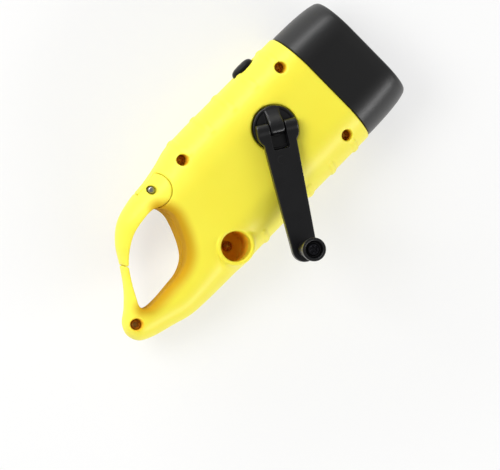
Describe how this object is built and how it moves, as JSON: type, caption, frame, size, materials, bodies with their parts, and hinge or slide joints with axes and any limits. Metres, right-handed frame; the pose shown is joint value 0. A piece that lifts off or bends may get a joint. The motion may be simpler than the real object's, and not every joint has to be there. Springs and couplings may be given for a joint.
{
  "type": "hand crank flashlight",
  "caption": "Palm-sized hand crank flashlight with a folding side crank, a squared black lamp bezel, a push switch and a sprung carabiner gate in its tail.",
  "frame": {"origin": "on the flat of the rear shell, under the middle of the length and the width, where the part lies on a table", "axes": "+X to the lens, +Y to the switch and the carabiner gate, +Z out of the crank side"},
  "size_m": [0.1348, 0.066, 0.0586],
  "materials": {
    "yellow_shell": "moulded ABS, fine satin",
    "black_bezel": "moulded ABS, satin",
    "black_crank": "moulded nylon, semi-gloss",
    "gear_plastic": "moulded acetal",
    "steel": "turned steel",
    "screw_brass": "yellow zinc plated steel",
    "chrome": "vacuum metallised",
    "clear_plastic": "clear polycarbonate",
    "board_green": "solder mask on glass epoxy",
    "copper": "enamelled copper wire",
    "magnet": "sintered ferrite",
    "cell_wrap": "shrink sleeve",
    "red_wire": "PVC",
    "black_wire": "PVC"
  },
  "bodies": {
    "case": {"front_shell": "yellow_shell", "rear_shell": "yellow_shell", "bezel": "black_bezel", "lens": "clear_plastic", "reflector": "chrome", "led_board": "board_green", "led_right": "clear_plastic", "led_centre": "clear_plastic", "led_left": "clear_plastic", "gate_pin": "steel", "gate_spring": "steel", "gear_base": "gear_plastic", "gear_cover": "gear_plastic", "gear_axle_1": "steel", "gear_axle_2": "steel", "generator_case": "steel", "generator_coil": "copper", "battery_pack": "cell_wrap", "main_board": "board_green", "tact_switch": "black_bezel", "led_wire_red": "red_wire", "led_wire_black": "black_wire", "generator_wire_red": "red_wire", "generator_wire_black": "black_wire", "case_screw_1": "screw_brass", "case_screw_2": "screw_brass", "case_screw_3": "screw_brass", "case_screw_4": "screw_brass", "case_screw_5": "screw_brass", "base_screw_1": "steel", "cover_screw_1": "steel", "base_screw_2": "steel", "cover_screw_2": "steel", "base_screw_3": "steel", "cover_screw_3": "steel"},
    "hub": {"crank_hub": "black_crank", "crank_hinge_pin": "black_crank", "drive_gear": "gear_plastic", "hub_screw": "steel"},
    "arm": {"crank_arm": "black_crank", "knob_screw": "steel"},
    "knob": {"crank_knob": "black_crank"},
    "gate": {"carabiner_gate": "yellow_shell"},
    "button": {"switch_button": "black_bezel"},
    "compound_1": {"compound_gear_1": "gear_plastic"},
    "compound_2": {"compound_gear_2": "gear_plastic"},
    "rotor": {"rotor_magnet": "magnet", "rotor_shaft": "steel", "rotor_pinion": "gear_plastic"}
  },
  "joints": [
    {"name": "crank_spin", "type": "hinge", "parent": "case", "child": "hub", "pos_m": [0.022, 0.0037, 0.036], "axis": [0, 0, 1], "continuous": true},
    {"name": "crank_fold", "type": "hinge", "parent": "hub", "child": "arm", "pos_m": [0.022, 0.0037, 0.0389], "axis": [-0.848, 0.5299, 0], "range_deg": [0, 180]},
    {"name": "knob_spin", "type": "hinge", "parent": "arm", "child": "knob", "pos_m": [-0.00185, -0.03446, 0.05], "axis": [0, 0, 1], "continuous": true},
    {"name": "gate_hinge", "type": "hinge", "parent": "case", "child": "gate", "pos_m": [-0.02468, 0.0185, 0.018], "axis": [0, 0, 1], "range_deg": [0, 13], "stiffness_Nm_per_rad": 0.03, "springref_deg": -17.19},
    {"name": "switch_press", "type": "slide", "parent": "case", "child": "button", "axis": [0, -1, 0], "range_m": [0, 0.001], "stiffness_N_per_m": 600, "springref_m": -0.001},
    {"name": "compound_1_spin", "type": "hinge", "parent": "case", "child": "compound_1", "pos_m": [0.00388, 0.0005, 0.02], "axis": [0, 0, 1], "continuous": true},
    {"name": "compound_2_spin", "type": "hinge", "parent": "case", "child": "compound_2", "pos_m": [-0.01132, 0.0005, 0.02], "axis": [0, 0, 1], "continuous": true},
    {"name": "rotor_spin", "type": "hinge", "parent": "case", "child": "rotor", "pos_m": [-0.00041, -0.0058, 0.02], "axis": [0, 0, 1], "continuous": true}
  ],
  "couplings": [
    {"joint": "compound_1_spin", "follows": "crank_spin", "ratio": -3.6},
    {"joint": "compound_2_spin", "follows": "crank_spin", "ratio": 10.08},
    {"joint": "rotor_spin", "follows": "crank_spin", "ratio": -32.256}
  ]
}
